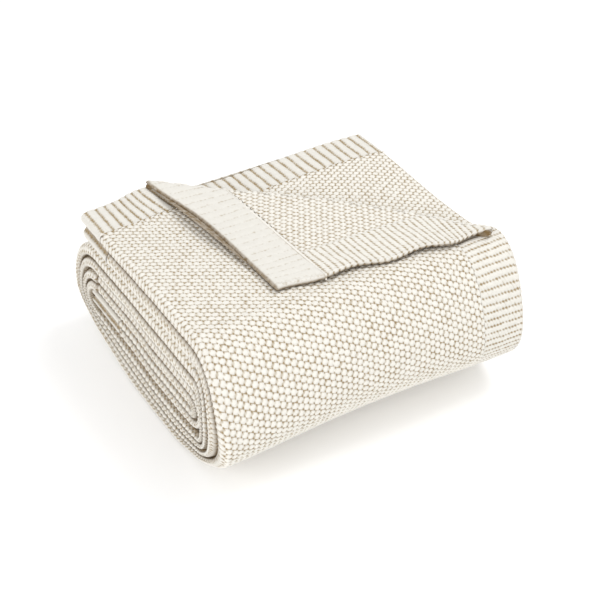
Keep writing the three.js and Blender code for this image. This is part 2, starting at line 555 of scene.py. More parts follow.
def onStrip(v, depth):
    y = np.interp(v, stripLength, stripOuter[:, 0])
    z = np.interp(v, stripLength, stripOuter[:, 1])
    inY = np.interp(v, stripLength, stripInward[:, 0])
    inZ = np.interp(v, stripLength, stripInward[:, 1])
    return y + depth * inY, z + depth * inZ, inY, inZ


# Cross-sections of the folded strip are closed rings. Each point has the ply's mid-line (x, depth), the
# direction away from it, u across the panel, whether its knit shows, and its share of painted shade.
def ramp(value, low, high):
    t = np.clip((value - low) / (high - low), 0, 1)
    return t * t * (3 - 2 * t)


def plyDepth(ply):
    return (ply - 1) * plyPitch + halfPly


def ringOf(points):
    names = ("x", "depth", "awayX", "awayD", "u", "shown", "paintedShade")
    return {name: np.array(column, float) for name, column in zip(names, zip(*points))}


# Painted shade in the hollows between plies: shares from 0 to 1, and metres or radians where it begins and
# ends
paintedHollowShade = {
    "cap": 0.6,
    "capFrom": 0.2,
    "capTo": 1.7,
    "innerFrom": 0.001,
    "innerTo": 0.007,
    "turn": 0.06,
    "turnIn": 0.75,
    "turnFrom": 1.75,
    "turnTo": 3.0,
    "leg": 0.85,
    "legReach": 0.006,
}
# The knit stretches round a fold, so its length there is a share of the outer arc
capStretch = 0.7
foldStretch = 0.8


def endCap(x, depth, side, faceSign, u, steps=5):
    # a rounded selvedge, from the hidden face to the shown one
    points = []
    for i in range(steps + 1):
        angle = math.pi * i / steps
        across = u - (math.pi - angle) * halfPly * capStretch
        # painted shade on the selvedge, fading from the hidden face to the shown one
        paintedShade = paintedHollowShade["cap"] * (1 - ramp(angle, paintedHollowShade["capFrom"], paintedHollowShade["capTo"]))
        away = (side * math.sin(angle), -faceSign * math.cos(angle))
        points.append((x - side * halfPly, depth, *away, across, 1.0, paintedShade))
    return points


def foldedRing(openX, side, ply, nextPly, leg, step, rounded=False, uStart=0.0, inner=False):
    # from its open end the ply runs to the fold on that side, turns over, and returns for a short leg
    depth, nextDepth = plyDepth(ply), plyDepth(nextPly)
    face = -1.0 if nextDepth > depth else 1.0
    edge = leftEdge if side < 0 else rightEdge
    foldX = edge - side * (foldRadius + halfPly)
    middle = (depth + nextDepth) / 2
    points = endCap(openX, depth, -side, face, uStart) if rounded else []
    straightLength = abs(foldX - openX)
    turnLength = math.pi * (foldRadius + halfPly) * foldStretch

    def turned(angle, awaySign, along, shown, paintedShade):
        x = foldX + side * foldRadius * math.sin(angle)
        z = middle + (depth - middle) * math.cos(angle)
        away = (awaySign * side * math.sin(angle), awaySign * face * math.cos(angle))
        points.append((x, z, *away, uStart + straightLength + along, shown, paintedShade))

    count = int(round(straightLength / step))
    for i in range(1 if rounded else 0, count):
        run = straightLength * i / count
        if rounded and run < halfPly:
            continue
        toFold = straightLength - run
        # painted shade in the hollow close to the fold, on inner folds only
        paintedShade = ramp(toFold, paintedHollowShade["innerFrom"], paintedHollowShade["innerTo"]) if inner else 0.0
        points.append((openX + side * run, depth, 0.0, face, uStart + run, 1.0, paintedShade))
    count = int(round(turnLength / step))
    for i in range(count + 1):
        angle = math.pi * i / count
        # painted shade round the turn, strongest where it runs in between the plies
        inward = (paintedHollowShade["turnFrom"], paintedHollowShade["turnTo"])
        paintedShade = paintedHollowShade["turn"] * math.sin(angle) + paintedHollowShade["turnIn"] * ramp(angle, *inward)
        if inner:
            paintedShade = max(paintedShade, paintedHollowShade["turnIn"] * ramp(math.pi - angle, *inward))
        turned(angle, 1, turnLength * i / count, 1.0, paintedShade)
    legCount = int(round(leg / step))
    for i in range(1, legCount + 1):
        run = leg * i / legCount
        u = uStart + straightLength + turnLength + run
        # painted shade on the short leg between the plies, full a few millimetres in
        paintedShade = paintedHollowShade["leg"] + (1 - paintedHollowShade["leg"]) * ramp(run, 0, paintedHollowShade["legReach"])
        points.append((foldX - side * run, nextDepth, 0.0, -face, u, 1.0, paintedShade))
    # the hidden inner faces take full painted shade
    last = points[-1]
    points.append((last[0], last[1], 0.0, face, last[4], 0.0, 1.0))
    for i in (2, 1, 0):
        turned(math.pi * i / 2, -1, turnLength * i / 2, 0.0, 1.0)
    if not rounded:
        points.append((openX, depth, 0.0, -face, uStart, 0.0, 1.0))
    return ringOf(points)


def flatRing(openX, endX, ply, face, step, rounded=False, uStart=0.0, bothFaces=False):
    depth = plyDepth(ply)
    side = math.copysign(1.0, endX - openX)
    points = endCap(openX, depth, -side, face, uStart) if rounded else []
    length = abs(endX - openX)
    count = max(2, int(round(length / step)))
    top = []
    for i in range(count + 1):
        run = length * i / count
        if rounded and run < halfPly:
            continue
        top.append((openX + side * run, depth, 0.0, face, uStart + run, 1.0, 0.0))
    points += top
    if bothFaces:
        points += [(x, d, 0.0, -face, u, 1.0, 0.0) for x, d, _, _, u, _, _ in top[::-1]]
    else:
        # the hidden back takes full painted shade
        last = top[-1]
        points.append((last[0], last[1], 0.0, -face, last[4], 0.0, 1.0))
        if not rounded:
            points.append((top[0][0], top[0][1], 0.0, -face, top[0][4], 0.0, 1.0))
    return ringOf(points)


def rowsBetween(start, end, step):
    count = max(2, int(round((end - start) / step)))
    return np.linspace(start, end, count + 1)


thinnestEnd = 0.12


def sweep(ring, rows, roundStart=0.0, roundEnd=0.0):
    # points, faces and attributes of a closed ring carried along the strip
    rowCount, ringCount = len(rows), len(ring["x"])
    thickness = np.full(rowCount, halfPly)
    for rounding, distance in ((roundStart, rows - rows[0]), (roundEnd, rows[-1] - rows)):
        if rounding:
            share = np.clip(1 - distance / rounding, 0, 1)
            thickness = thickness * np.maximum(np.sqrt(1 - share**2), thinnestEnd)
    depth = ring["depth"][None] + ring["awayD"][None] * thickness[:, None]
    x = ring["x"][None] + ring["awayX"][None] * thickness[:, None]
    y, z, inY, inZ = onStrip(rows[:, None], depth)
    inY = np.broadcast_to(inY, depth.shape)
    inZ = np.broadcast_to(inZ, depth.shape)
    points = np.stack([np.broadcast_to(x, depth.shape), y, z], -1).reshape(-1, 3)
    awayX = np.broadcast_to(ring["awayX"][None], depth.shape)
    awayD = ring["awayD"][None]
    outward = np.stack([awayX, awayD * inY, awayD * inZ], -1).reshape(-1, 3)
    r, c = np.meshgrid(np.arange(rowCount - 1), np.arange(ringCount), indexing="ij")
    nextC = (c + 1) % ringCount
    quads = np.stack(
        [r * ringCount + c, r * ringCount + nextC, (r + 1) * ringCount + nextC, (r + 1) * ringCount + c], -1
    ).reshape(-1, 4)
    a, b, d = points[quads[:, 0]], points[quads[:, 1]], points[quads[:, 2]]
    e = points[quads[:, 3]]
    flip = ((a * np.cross(b, d)).sum() + (a * np.cross(d, e)).sum()) < 0
    ringShown = ring["shown"]
    smooth = (ringShown[c] + ringShown[nextC] > 1.5).ravel()
    caps = [list(range(ringCount))[::-1], [(rowCount - 1) * ringCount + i for i in range(ringCount)]]
    faces = quads.tolist() + caps
    if flip:
        faces = [f[::-1] for f in faces]
    return {
        "points": points,
        "outward": outward,
        "u": np.broadcast_to(ring["u"][None], depth.shape).ravel(),
        "v": np.broadcast_to(rows[:, None], depth.shape).ravel(),
        "shown": np.broadcast_to(ringShown[None], depth.shape).ravel(),
        "paintedShade": np.broadcast_to(ring["paintedShade"][None], depth.shape).ravel(),
        "faces": faces,
        "smooth": np.concatenate([smooth, [False, False]]),
    }


def together(parts):
    whole, start = {k: [] for k in parts[0]}, 0
    for part in parts:
        for key in ("points", "outward", "u", "v", "shown", "paintedShade", "smooth"):
            whole[key].append(part[key])
        whole["faces"] += [[i + start for i in f] for f in part["faces"]]
        start += len(part["points"])
    return {k: (v if k == "faces" else np.concatenate(v)) for k, v in whole.items()}


# How the soft throw settles under its own weight, in metres
settling = {
    "crown": 0.003,
    "backLift": 0.020,
    "frontLift": 0.013,
    "frontTuck": 0.008,
    "endSag": 0.011,
    "endSagFront": 0.005,
    "frontPush": 0.015,
    "backPush": 0.013,
    "rightRise": 0.007,
    "mouthRise": 0.006,
    "sway": 0.0012,
    "coreWidth": 0.985,
    "lowerReach": 0.011,
}


# Where each of them begins and ends, or its middle and width, in metres
reach = {
    "high": (0.02, rollTop),
    "leftEnd": (0.02, 0.159),
    "rightEnd": (0.03, 0.159),
    "low": (0.0, 0.08),
    "crown": (-0.10, 0.05),
    "back": (0.02, 0.15),
    "backLow": (0.0, 0.075),
    "front": (0.05, 0.14),
    "sagFront": (-0.04, 0.02),
    "frontPush": ((-0.138, 0.021), (0.075, 0.045)),
    "backPush": ((0.115, 0.026), (0.06, 0.035)),
    "rightRise": ((-0.02, 0.13), (-0.04, 0.10), (0.09, 0.14)),
    "mouthRise": ((0.155, 0.045), (-0.122, 0.032), (0.08, 0.13)),
    "tail": (-0.02, coreEnd),
    "lowerEnd": (0.05, lowerEnd),
}


def hump(value, middle, width):
    return np.exp(-(((value - middle) / width) ** 2))


def settle(p):
    x, y, z = p[:, 0], p[:, 1], p[:, 2]
    out = p.copy()
    across = np.clip(x / rightEdge, -1.2, 1.2)
    high = ramp(z, *reach["high"])
    nearEnd = ramp(-x, *reach["leftEnd"]) + 0.5 * ramp(x, *reach["rightEnd"])
    mid = np.sin(math.pi * np.clip(z / rollTop, 0, 1))
    front = ramp(-y, *reach["front"]) * (1 - ramp(z, *reach["low"]))
    back = ramp(y, *reach["back"]) * (1 - ramp(z, *reach["backLow"]))
    sag = settling["endSag"] + settling["endSagFront"] * ramp(-y, *reach["sagFront"])
    pushY, pushZ = reach["frontPush"]
    frontPush = hump(y, *pushY) * hump(z, *pushZ) * nearEnd
    pushY, pushZ = reach["backPush"]
    backPush = hump(y, *pushY) * hump(z, *pushZ) * nearEnd
    riseX, riseY, riseZ = reach["rightRise"]
    rightRise = ramp(x, *riseX) * ramp(y, *riseY) * ramp(z, *riseZ)
    mouthX, mouthY, mouthZ = reach["mouthRise"]
    mouthRise = hump(x, *mouthX) * hump(y, *mouthY) * ramp(z, *mouthZ)
    out[:, 2] += settling["crown"] * (1 - across**2) * high * ramp(-y, *reach["crown"])
    out[:, 2] += settling["backLift"] * back + settling["frontLift"] * front - sag * mid * nearEnd
    out[:, 1] += settling["frontTuck"] * front
    out[:, 1] += settling["frontPush"] * frontPush + settling["backPush"] * backPush
    out[:, 2] += settling["rightRise"] * rightRise + settling["mouthRise"] * mouthRise
    out[:, 2] += settling["sway"] * np.sin(31 * y + 5 * x) * np.sin(14 * x + 1.0) * high
    out[:, 1] += settling["sway"] * np.sin(26 * x + 40 * z) * 0.8
    return out


def coreShape(p):
    # the innermost turn draws in a little from both ends, and its tail reaches back to fill the turn's hollow
    q = p * np.array([settling["coreWidth"], 1, 1])
    tail = ramp(-p[:, 2], -layerBottom(3) - 0.0002, -layerBottom(3))
    q[:, 1] += coreReachBack * ramp(p[:, 1], *reach["tail"]) * tail
    return settle(q)


def lowerPlyShape(p):
    # the lower pair of plies reaches a little further back than its own end line
    q = p.copy()
    q[:, 1] += settling["lowerReach"] * ramp(p[:, 1], *reach["lowerEnd"])
    return settle(q)


# The corner's own lift: its crease stands up at the back edge and bulges at the front bend.
cornerLift = {
    "backAt": (-0.072, 0.124),
    "backMove": (-0.022, -0.003, 0.011),
    "backWidth": (0.042, 0.055),
    "frontAt": (0.150, -0.104),
    "frontMove": (-0.014, -0.002, 0.0015),
    "frontWidth": (0.045, 0.032),
    "slopeLeft": 0.011,
    "slope": 0.10,
    "slopeFrom": 0.066,
    "waveY": (0.0022, 95, 0.6),
    "waveZ": (0.0012, 70, 2.0),
    "fadeEnds": {"slope": -0.04, "waveY": -0.07, "waveZ": -0.05},
}


def liftWeight(p, at, width):
    return np.exp(-(((p[:, 0] - at[0]) / width[0]) ** 2 + ((p[:, 1] - at[1]) / width[1]) ** 2))


def topPlyShape(p):
    near = liftWeight(p, cornerLift["backAt"], cornerLift["backWidth"])
    return settle(p + near[:, None] * np.array(cornerLift["backMove"]))


def foldOver(p):
    # half a turn about the crease
    q = p - creasePoint
    return creasePoint + 2 * (q @ creaseAxis)[:, None] * creaseAxis - q


def flapShape(p):
    return creaseShape(foldOver(p))


def creaseShape(p):
    back = liftWeight(p, cornerLift["backAt"], cornerLift["backWidth"])
    front = liftWeight(p, cornerLift["frontAt"], cornerLift["frontWidth"])
    moved = p + back[:, None] * np.array(cornerLift["backMove"])
    moved += front[:, None] * np.array(cornerLift["frontMove"])
    x, y = p[:, 0], p[:, 1]
    edgeY = cornerLift["frontAt"][1]
    slope = cornerLift["slopeLeft"] - cornerLift["slope"] * (x + cornerLift["slopeFrom"])
    fade = {key: 1 - ramp(y, edgeY, end) for key, end in cornerLift["fadeEnds"].items()}
    heightY, perMetreY, phaseY = cornerLift["waveY"]
    heightZ, perMetreZ, phaseZ = cornerLift["waveZ"]
    moved[:, 1] += slope * fade["slope"]
    moved[:, 1] += heightY * np.sin(perMetreY * x + phaseY) * fade["waveY"]
    moved[:, 2] += heightZ * (1 + np.sin(perMetreZ * x + phaseZ)) * fade["waveZ"]
    return settle(moved)


def shapeNormals(shape, points, outward):
    here = shape(points)
    tiny = 1e-5
    jacobian = np.stack(
        [(shape(points + tiny * np.eye(3)[k]) - here) / tiny for k in range(3)], -1
    )
    turned = np.linalg.solve(np.transpose(jacobian, (0, 2, 1)), outward[..., None])[..., 0]
    turned /= np.maximum(np.linalg.norm(turned, axis=1), 1e-9)[:, None]
    return here, turned


def putAttributes(mesh, part):
    for name, key in (("panelU", "u"), ("panelV", "v"), ("shown", "shown"), ("paintedShade", "paintedShade")):
        layer = mesh.attributes.new(name, "FLOAT", "POINT")
        layer.data.foreach_set("value", np.ascontiguousarray(part[key], np.float32))
    layer = mesh.attributes.new("outward", "FLOAT_VECTOR", "POINT")
    layer.data.foreach_set("vector", np.ascontiguousarray(part["outward"], np.float32).ravel())


def readAttribute(mesh, name, size, field):
    values = np.zeros(len(mesh.vertices) * size, np.float32)
    mesh.attributes[name].data.foreach_get(field, values)
    return values.reshape(-1, size) if size > 1 else values


def cutMesh(mesh, point, normal):
    # takes away what lies on the side that the normal points to, and closes the cut
    work = bmesh.new()
    work.from_mesh(mesh)
    cut = bmesh.ops.bisect_plane(
        work, geom=work.verts[:] + work.edges[:] + work.faces[:], dist=1e-7,
        plane_co=point, plane_no=normal, clear_outer=True,
    )
    rim = [e for e in cut["geom_cut"] if isinstance(e, bmesh.types.BMEdge) and e.is_boundary]
    if rim:
        made = bmesh.ops.edgeloop_fill(work, edges=rim)
        for face in made["faces"]:
            face.smooth = False
    work.normal_update()
    work.to_mesh(mesh)
    work.free()


pieceCount = []


def makePiece(name, part, kind, shape, cuts=()):
    mesh = bpy.data.meshes.new(name)
    mesh.from_pydata(part["points"], [], part["faces"])
    mesh.polygons.foreach_set("use_smooth", part["smooth"])
    putAttributes(mesh, part)
    for point, normal in cuts:
        cutMesh(mesh, point, normal)
    points = np.zeros(len(mesh.vertices) * 3, np.float32)
    mesh.vertices.foreach_get("co", points)
    outward = readAttribute(mesh, "outward", 3, "vector")
    points, outward = shapeNormals(shape, points.reshape(-1, 3).astype(float), outward.astype(float))
    mesh.vertices.foreach_set("co", points.astype(np.float32).ravel())
    mesh.attributes["outward"].data.foreach_set("vector", outward.astype(np.float32).ravel())
    piece = bpy.data.objects.new(name, mesh)
    bpy.context.scene.collection.objects.link(piece)
    mesh.materials.append(yarns[kind])
    values = {"Depth": reliefDepth[kind], "Unevenness": gauge["unevenness"], "Yarn": yarns[kind]}
    applyTree(piece, reliefTrees[kind], values)
    triangles = sum(len(p.vertices) - 2 for p in piece.data.polygons)
    pieceCount.append(triangles)
    print(f"{name}: {triangles} triangles")
    return piece


def makeSeam(name, part, shape, line, cuts=()):
    # a recessed strip with a row of linking stitches on each shown face
    mesh = bpy.data.meshes.new(name)
    mesh.from_pydata(part["points"], [], part["faces"])
    putAttributes(mesh, part)
    for point, normal in cuts:
        cutMesh(mesh, point, normal)
    points = np.zeros(len(mesh.vertices) * 3, np.float32)
    mesh.vertices.foreach_get("co", points)
    points = shape(points.reshape(-1, 3).astype(float))
    mesh.vertices.foreach_set("co", points.astype(np.float32).ravel())
    base = bpy.data.objects.new(name, mesh)
    bpy.context.scene.collection.objects.link(base)
    mesh.materials.append(yarns["seam"])
    at, out = line
    keep = np.ones(len(at), bool)
    for point, normal in cuts:
        keep &= (at - np.array(point)) @ np.array(normal) < -0.001
    at, out = at[keep], out[keep]
    moved, turned = shapeNormals(shape, at, out)
    ahead = shape(at + np.array([[0.001, 0, 0]])) - moved
    dots = bpy.data.meshes.new(name + "_stitches")
    dots.from_pydata(moved, [], [])
    for label, values in (("outward", turned), ("along", ahead)):
        layer = dots.attributes.new(label, "FLOAT_VECTOR", "POINT")
        layer.data.foreach_set("vector", values.astype(np.float32).ravel())
    row = bpy.data.objects.new(name + "_stitches", dots)
    bpy.context.scene.collection.objects.link(row)
    values = {"Stitch length": linkStitch["length"], "Yarn thickness": linkStitch["thickness"]}
    applyTree(row, stitches, values | {"Yarn": yarns["seam"]})
    work = bmesh.new()
    work.from_mesh(base.data)
    work.from_mesh(row.data)
    work.to_mesh(base.data)
    work.free()
    bpy.data.objects.remove(row)
    for polygon in base.data.polygons:
        polygon.material_index = 0
    return base


fine, coarse, plain = gauge["fineStep"], gauge["coarseStep"], gauge["plainStep"]
sideBand = gauge["sideBand"]
bandEdge = rightEdge - sideBand
ribEnd = gauge["ribBorder"]
seamEnd = ribEnd + gauge["seamWidth"]
seamMiddle = (ribEnd + seamEnd) / 2
flapAway = np.array([1, 1, 0]) / math.sqrt(2)
onCrease = (creasePoint[0], creasePoint[1], 0)
pastCrease = [(onCrease, tuple(flapAway))]
ahead = [(onCrease, tuple(-flapAway))]
start4 = freeEnd - lowerEnd

# Where pieces begin and end, in metres across the panel or along the strip. Most ends are out of sight.
places = {
    "hingeCut": 0.2277,
    "flapEnd": 0.232,
    "bandStart": 0.17,
    "shortLeg": 0.012,
    "secondLeft": -0.115,
    "flapLeft": -0.080,
    "frontOverlap": 0.012,
    "foldRun": 0.022,
    "foldLeg": 0.013,
    "seamInset": 0.004,
    "stitchInset": 0.003,
    "coreSeamInset": 0.0012,
    "coreSeamRun": 0.02,
}
hingeCut, shortLeg = places["hingeCut"], places["shortLeg"]


def leftFold(openX, ply, nextPly, step, **more):
    return foldedRing(openX, -1, ply, nextPly, shortLeg, step, **more)


def selvedgeBand(ply, face, step, bothFaces=False):
    return flatRing(rightEdge, bandEdge, ply, face, step, rounded=True, bothFaces=bothFaces)


def makeKnit(name, ring, rows, kind, shape, cuts=(), roundStart=0.0):
    return makePiece(name, sweep(ring, rows, roundStart=roundStart), kind, shape, cuts)


def seamLine(fromX, toX, v, ply, faces=(-1,)):
    count = int(abs(toX - fromX) / linkStitch["pitch"])
    x = np.linspace(fromX, toX, count)
    at, out = [], []
    for face in faces:
        depth = plyDepth(ply) + face * halfPly * linkStitch["height"]
        y, z, inY, inZ = onStrip(np.full(count, v), np.full(count, depth))
        at.append(np.stack([x, y, z], -1))
        out.append(np.stack([np.zeros(count), face * inY, face * inZ], -1))
    return np.concatenate(at), np.concatenate(out)


# the uppermost ply, with its fold into ply 2 on the left
ribRows = rowsBetween(0, ribEnd, fine)
topRows = rowsBetween(seamEnd, hingeCut, fine)
bandRows = rowsBetween(places["bandStart"], hingeCut, fine)
panelRing = leftFold(bandEdge, 1, 2, fine, uStart=sideBand)
topKnit = makeKnit("top_ply_1_knit", panelRing, topRows, "moss", topPlyShape, pastCrease)
ring = leftFold(rightEdge, 1, 2, fine)
topRib = makeKnit("top_ply_1_rib", ring, ribRows, "rib", topPlyShape, pastCrease, halfPly)
bandRing = selvedgeBand(1, -1, fine)
topBand = makeKnit("top_ply_1_band", bandRing, bandRows, "garter", topPlyShape, pastCrease)

# ply 2, which shows behind the crease, with its fold into ply 3 on the right
ring = foldedRing(places["secondLeft"], 1, 2, 3, shortLeg, fine, uStart=0.003)
secondKnit = makeKnit("top_ply_2_knit", ring, topRows, "moss", settle)
secondRib = makeKnit("top_ply_2_rib", ring, ribRows, "rib", settle, roundStart=halfPly)

# ply 4, the underside of the free end, with its fold into ply 3 on the left
fourthRows = rowsBetween(start4 + seamEnd, hingeCut, fine)
ring = leftFold(bandEdge, 4, 3, fine, uStart=sideBand)
fourthKnit = makeKnit("top_ply_4_knit", ring, fourthRows, "moss", lowerPlyShape)
ring = leftFold(rightEdge, 4, 3, fine)
rows = rowsBetween(start4, start4 + ribEnd, fine)
fourthRib = makeKnit("top_ply_4_rib", ring, rows, "rib", lowerPlyShape, roundStart=halfPly)
ring = selvedgeBand(4, 1, fine)
fourthBand = makeKnit("top_ply_4_band", ring, fourthRows, "garter", lowerPlyShape)
print("top plies made")

# The turned corner: painted shade on its rounded edges, and where it fades on its rib's own free end
rim = {"edge": 0.85, "from": -0.5, "to": 0.4, "rib": 0.9, "ribFrom": 0.0004, "ribTo": 0.0028}


def shadeRim(ring):
    # painted shade on the rounded edges, darker towards the plies that the flap lies on
    onEdge = np.abs(ring["awayX"]) > 0.001
    ring["paintedShade"] = np.where(onEdge, rim["edge"] * ramp(-ring["awayD"], rim["from"], rim["to"]), 0.0)
    return ring


def flapRing(fromX, rounded=False, uStart=0.0):
    ring = flatRing(fromX, places["flapLeft"], 1, -1, fine, rounded=rounded, uStart=uStart, bothFaces=True)
    return shadeRim(ring)


flapRows = rowsBetween(seamEnd, places["flapEnd"], fine)
ring = flapRing(bandEdge, uStart=sideBand)
flapKnit = makeKnit("flap_knit", ring, flapRows, "moss", flapShape, ahead)
part = sweep(flapRing(rightEdge, rounded=True), ribRows, roundStart=halfPly)
# painted shade on the rib's free end, where the flap lifts off the ply below
ribEndShade = rim["rib"] * (1 - ramp(part["v"], rim["ribFrom"], rim["ribTo"]))
part["paintedShade"] = np.maximum(part["paintedShade"], ribEndShade)
flapRib = makePiece("flap_rib", part, "flatRib", flapShape, ahead)
ring = shadeRim(selvedgeBand(1, -1, fine, bothFaces=True))
flapBand = makeKnit("flap_band", ring, flapRows, "garter", flapShape, ahead)


creaseRoll = {
    "length": 0.3215,
    "first": 0.001,
    "rows": 300,
    "columns": 20,
    "tip": 0.010,
    "thinnest": 0.25,
    "uStart": 0.228,
    "backDepth": 0.004,
    "backHeight": 0.75,
}


def creasePart():
    # a half round along the crease, closed by a hidden back, and tapering at both ends
    length, tip = creaseRoll["length"], creaseRoll["tip"]
    fullRadius = foldRadius + halfPly
    angles = np.linspace(-math.pi / 2, math.pi / 2, creaseRoll["columns"])
    along = -creaseAxis * np.sign(-creaseAxis[0])
    start = creasePoint - np.array([along[0], along[1], 0]) * length / 2
    names = ("points", "outward", "u", "v", "shown")
    columns = {name: [] for name in names}

    def put(*values):
        for name, value in zip(names, values):
            columns[name].append(value)

    rows = np.linspace(creaseRoll["first"], length, creaseRoll["rows"])
    for run in rows:
        centre = start + along * run
        toTip = min(run, length - run, tip) / tip
        radius = fullRadius * max(creaseRoll["thinnest"], math.sqrt(1 - (1 - toTip) ** 2))
        for angle in angles:
            away = flapAway * math.cos(angle) + np.array([0, 0, 1]) * math.sin(angle)
            offset = angle * radius * foldStretch / math.sqrt(2)
            u = creaseRoll["uStart"] - run / math.sqrt(2) + offset
            put(centre + away * radius, away, u, run / math.sqrt(2) + offset, 1.0)
        for sign in (1, -1):
            height = np.array([0, 0, sign * radius * creaseRoll["backHeight"]])
            put(centre - flapAway * creaseRoll["backDepth"] + height, -flapAway, 0.1, 0.1, 0.0)
    count = len(angles) + 2
    faces, smooth = [], []
    for r in range(len(rows) - 1):
        for c in range(count):
            n = (c + 1) % count
            faces.append([r * count + c, r * count + n, (r + 1) * count + n, (r + 1) * count + c])
            smooth.append(c < len(angles) - 1)
    faces += [list(range(count))[::-1], [(len(rows) - 1) * count + i for i in range(count)]]
    part = {name: np.array(values) for name, values in columns.items()}
    volume = 0
    for face in faces[:-2]:
        a, b, c, d = part["points"][face]
        volume += a @ np.cross(b, c) + a @ np.cross(c, d)
    if volume < 0:
        faces = [face[::-1] for face in faces]
    smooth += [False, False]
    # the hidden back takes full painted shade
    return part | {"paintedShade": 1 - part["shown"], "faces": faces, "smooth": np.array(smooth)}


crease = makePiece("crease", creasePart(), "panel", creaseShape)
print("turned corner made")

# the front bulge
frontEnd = float(stripMarks["underside"]) + places["frontOverlap"]
rows = rowsBetween(hingeCut, frontEnd, fine)
frontKnit = makeKnit("front_knit", panelRing, rows, "moss", settle)
frontBand = makeKnit("front_band", bandRing, rows, "garter", settle)


def innerFolds(step, leftOuter=False):
    run, leg = places["foldRun"], places["foldLeg"]
    rings = [
        foldedRing(leftEdge + run, -1, 4, 3, leg, step, inner=True),
        foldedRing(rightEdge - run, 1, 2, 3, leg, step, inner=True),
        flatRing(rightEdge, rightEdge - run, 4, 1, step, rounded=True),
    ]
    if leftOuter:
        rings += [
            foldedRing(leftEdge + run, -1, 1, 2, leg, step, inner=True),
            flatRing(rightEdge, rightEdge - run, 1, -1, step, rounded=True),
        ]
    return rings


def foldsPart(start, end, step, leftOuter=False, roundEnd=0.0):
    rows = rowsBetween(start, end, step)
    return together([sweep(ring, rows, roundEnd=roundEnd) for ring in innerFolds(step, leftOuter)])


frontFolds = makePiece("front_folds", foldsPart(hingeCut, frontEnd, fine), "moss", settle)

# the underside and the back bulge
backEnd = float(stripMarks["second"])
panelRing = leftFold(bandEdge, 1, 2, coarse, uStart=sideBand)
bandRing = selvedgeBand(1, -1, coarse)
rows = rowsBetween(frontEnd, backEnd, coarse)
backKnit = makeKnit("back_knit", panelRing, rows, "moss", settle)
backBand = makeKnit("back_band", bandRing, rows, "garter", settle)
backFolds = makePiece("back_folds", foldsPart(frontEnd, backEnd, fine), "moss", settle)

# the second turn: its face under the free end, and its folds at both ends
faceEnd = float(stripMarks["secondFront"])
coreStart = float(stripMarks["core"])
rows = rowsBetween(backEnd, faceEnd, coarse)
secondFace = makeKnit("second_turn_knit", panelRing, rows, "moss", settle)
secondBand = makeKnit("second_turn_band", bandRing, rows, "garter", settle)
foldStep = gauge["foldStep"]
parts = [foldsPart(backEnd, faceEnd, foldStep), foldsPart(faceEnd, coreStart, foldStep, True)]
secondFolds = makePiece("second_turn_folds", together(parts), "moss", settle)

# the core: its folds, and the rib border at the throw's other end
coreSeam = stripEnd - seamEnd
coreRib = stripEnd - ribEnd
coreFolds = makePiece("core_folds", foldsPart(coreStart, coreSeam, fine, True), "moss", coreShape)
part = foldsPart(coreRib, stripEnd, fine, True, roundEnd=halfPly)
coreRibPiece = makePiece("core_rib", part, "rib", coreShape)
print("roll made")

# linking stitches between each rib border and the knit
thin = rowsBetween(ribEnd, seamEnd, plain)
ringRight, ringLeft = rightEdge - 0.0004, leftEdge + places["seamInset"]
lineRight, lineLeft = rightEdge - 0.001, leftEdge + places["stitchInset"]


def recessed(part):
    # the linked row lies a little lower than the knit on both sides
    part = dict(part)
    part["points"] = part["points"] - part["outward"] * halfPly * (1 - linkStitch["height"])
    return part


def linkRow(name, fromX, toX, ply, face, rows, shape, line, cuts=()):
    part = recessed(sweep(flatRing(fromX, toX, ply, face, plain), rows))
    return makeSeam(name, part, shape, line, cuts)


line = seamLine(lineRight, lineLeft, seamMiddle, 1)
topSeam = linkRow("top_ply_1_seam", ringRight, ringLeft, 1, -1, thin, topPlyShape, line, pastCrease)
left, right = places["secondLeft"], rightEdge - places["seamInset"]
line = seamLine(left, rightEdge - places["stitchInset"], seamMiddle, 2)
secondSeam = linkRow("top_ply_2_seam", left, right, 2, -1, thin, settle, line)
line = seamLine(lineRight, lineLeft, start4 + seamMiddle, 4, (1,))
fourthSeam = linkRow("top_ply_4_seam", ringRight, ringLeft, 4, 1, thin + start4, lowerPlyShape, line)
left = places["flapLeft"]
line = seamLine(lineRight, left, seamMiddle, 1, (-1, 1))
flapSeam = linkRow("flap_seam", ringRight, left, 1, -1, thin, flapShape, line, ahead)

coreRows = rowsBetween(coreSeam, coreRib, plain)
inset, run = places["coreSeamInset"], places["coreSeamRun"]
parts = []
for ply in (1, 2, 3, 4):
    for edge, inward in ((leftEdge, 1), (rightEdge, -1)):
        ring = flatRing(edge + inward * inset, edge + inward * run, ply, -1, plain)
        parts.append(sweep(ring, coreRows))
line = seamLine(lineLeft, leftEdge + run, (coreSeam + coreRib) / 2, 1)
coreSeamPiece = makeSeam("core_seam", recessed(together(parts)), coreShape, line)
print("seams made")

# Each fabric piece is baked in place or hung on its body, and the CAD parts it stands for are hidden
pieces = []


def declare(piece, replaced, body=None):
    if body is None:
        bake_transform(piece)
    else:
        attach(piece, body)
    if replaced:
        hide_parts(*replaced)
    pieces.append(piece)


